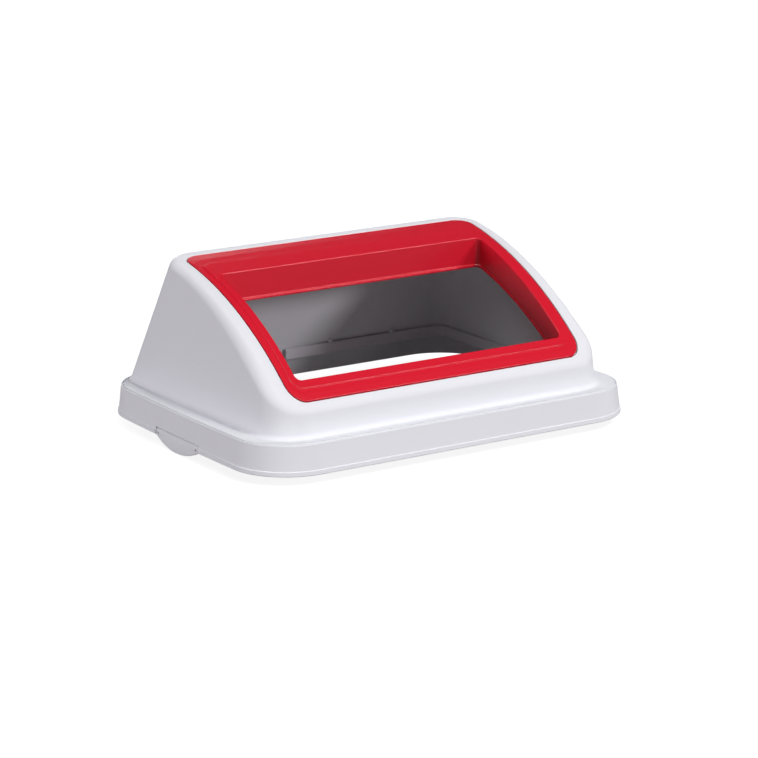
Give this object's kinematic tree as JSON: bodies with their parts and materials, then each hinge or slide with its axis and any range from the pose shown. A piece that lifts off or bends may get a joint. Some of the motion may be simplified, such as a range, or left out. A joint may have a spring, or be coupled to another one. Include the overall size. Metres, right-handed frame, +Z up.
{
  "type": "hooded open-top lid of a rectangular waste bin",
  "caption": "Pale hooded lid for a rectangular waste bin, with a sloping top opening framed by a red lift-out collar, an inner liner hoop and two side lift tabs.",
  "frame": {"origin": "middle of the footprint at the lowest point of the lift tabs; the skirt's bottom edge is 11 mm higher", "axes": "+X to the right along the long side, seen from the front; +Y to the rear, where the hood is highest; +Z up"},
  "size_m": [0.5026, 0.3866, 0.1992],
  "materials": {
    "hood_plastic": "fine moulded grain, pale bluish grey-white",
    "collar_plastic": "glossy signal red",
    "hoop_plastic": "fine grain, light grey"
  },
  "bodies": {
    "hood": {"hood_shell": "hood_plastic", "liner_hoop": "hoop_plastic"},
    "collar": {"aperture_collar": "collar_plastic"},
    "left_tab": {"tab_left": "hood_plastic"},
    "right_tab": {"tab_right": "hood_plastic"}
  },
  "joints": [
    {"name": "collar_lift", "type": "slide", "parent": "hood", "child": "collar", "axis": [0, 0, 1], "range_m": [0, 0.06]},
    {"name": "left_tab_pivot", "type": "hinge", "parent": "hood", "child": "left_tab", "pos_m": [-0.24643, 0, 0.016], "axis": [0, 1, 0], "range_deg": [0, 25]},
    {"name": "right_tab_pivot", "type": "hinge", "parent": "hood", "child": "right_tab", "pos_m": [0.24643, 0, 0.016], "axis": [0, -1, 0], "range_deg": [0, 25]}
  ]
}
